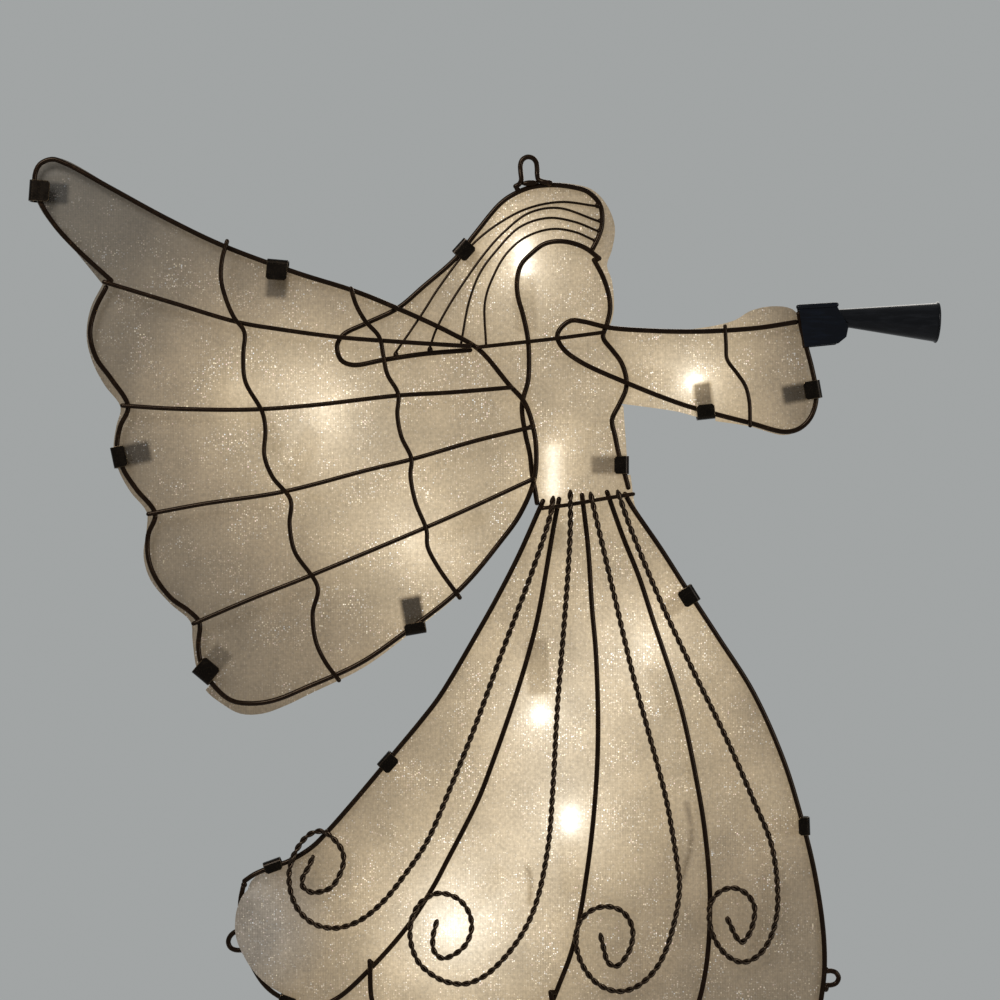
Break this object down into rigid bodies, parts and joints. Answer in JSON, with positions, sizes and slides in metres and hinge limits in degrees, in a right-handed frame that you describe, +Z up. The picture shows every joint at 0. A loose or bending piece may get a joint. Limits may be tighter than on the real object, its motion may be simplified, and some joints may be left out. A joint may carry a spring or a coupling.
{
  "type": "lighted angel tree topper",
  "caption": "Flat wire-frame angel with a feathered wing, scrolled skirt and trumpet, backed by sheer mesh and lit from behind by push-in mini lamps.",
  "frame": {"origin": "middle of the wire in the crown of the hanging loop", "axes": "+Z up, +X towards the trumpet, front of the figure towards -Y"},
  "size_m": [0.363, 0.0213, 0.3683],
  "materials": {
    "wire": "satin black-bronze coat on steel wire",
    "clip": "dark bronzed sheet strip, brighter on its edges",
    "trumpet": "gloss black",
    "mesh": "sheer cream glitter mesh",
    "bulb": "clear warm mini lamp",
    "holder": "off-white lamp sockets and cord"
  },
  "bodies": {
    "frame": {"wing_outline": "wire", "wing_rib_1": "wire", "wing_rib_2": "wire", "wing_rib_3": "wire", "wing_rib_4": "wire", "wing_wavy_wire_1": "wire", "wing_wavy_wire_2": "wire", "hair_outline": "wire", "hair_strand_1": "wire", "hair_strand_2": "wire", "hair_strand_3": "wire", "hair_strand_4": "wire", "face_and_back_wire": "wire", "profile_and_chest_wire": "wire", "shoulder_bar": "wire", "waist_wire": "wire", "sleeve_outline": "wire", "cuff_wire": "wire", "skirt_edge_left": "wire", "skirt_rib_1": "wire", "skirt_rib_2": "wire", "skirt_rib_3": "wire", "skirt_edge_right": "wire", "scroll_wire_1": "wire", "scroll_wire_2": "wire", "scroll_wire_3": "wire", "scroll_wire_4": "wire", "hanging_loop": "wire", "hem_loop_left": "wire", "hem_loop_right": "wire", "trumpet_horn": "trumpet", "trumpet_bracket": "trumpet", "wing_clip_tip": "clip", "wing_clip_top": "clip", "wing_clip_edge": "clip", "wing_clip_corner": "clip", "wing_clip_bottom": "clip", "hair_clip": "clip", "chest_clip": "clip", "sleeve_clip_bottom": "clip", "sleeve_clip_end": "clip", "skirt_clip_left": "clip", "skirt_clip_corner": "clip", "skirt_clip_hip": "clip", "skirt_clip_right": "clip", "wing_mesh": "mesh", "body_mesh": "mesh", "sleeve_mesh": "mesh", "skirt_mesh": "mesh", "lamp_string": "holder"},
    "bulb_1": {"bulb_1": "bulb"},
    "bulb_2": {"bulb_2": "bulb"},
    "bulb_3": {"bulb_3": "bulb"},
    "bulb_4": {"bulb_4": "bulb"},
    "bulb_5": {"bulb_5": "bulb"},
    "bulb_6": {"bulb_6": "bulb"},
    "bulb_7": {"bulb_7": "bulb"},
    "bulb_8": {"bulb_8": "bulb"},
    "bulb_9": {"bulb_9": "bulb"},
    "bulb_10": {"bulb_10": "bulb"}
  },
  "joints": [
    {"name": "bulb_1_pull", "type": "slide", "parent": "frame", "child": "bulb_1", "axis": [-0.5299, 0, 0.848], "range_m": [0, 0.008]},
    {"name": "bulb_2_pull", "type": "slide", "parent": "frame", "child": "bulb_2", "axis": [0.4384, 0, 0.8988], "range_m": [0, 0.008]},
    {"name": "bulb_3_pull", "type": "slide", "parent": "frame", "child": "bulb_3", "axis": [-0.9397, 0, -0.342], "range_m": [0, 0.008]},
    {"name": "bulb_4_pull", "type": "slide", "parent": "frame", "child": "bulb_4", "axis": [-0.0349, 0, 0.9994], "range_m": [0, 0.008]},
    {"name": "bulb_5_pull", "type": "slide", "parent": "frame", "child": "bulb_5", "axis": [0.9976, 0, -0.0698], "range_m": [0, 0.008]},
    {"name": "bulb_6_pull", "type": "slide", "parent": "frame", "child": "bulb_6", "axis": [0, 0, 1], "range_m": [0, 0.008]},
    {"name": "bulb_7_pull", "type": "slide", "parent": "frame", "child": "bulb_7", "axis": [0.0523, 0, -0.9986], "range_m": [0, 0.008]},
    {"name": "bulb_8_pull", "type": "slide", "parent": "frame", "child": "bulb_8", "axis": [-0.3746, 0, 0.9272], "range_m": [0, 0.008]},
    {"name": "bulb_9_pull", "type": "slide", "parent": "frame", "child": "bulb_9", "axis": [0, 0, 1], "range_m": [0, 0.008]},
    {"name": "bulb_10_pull", "type": "slide", "parent": "frame", "child": "bulb_10", "axis": [-0.6691, 0, -0.7431], "range_m": [0, 0.008]}
  ]
}
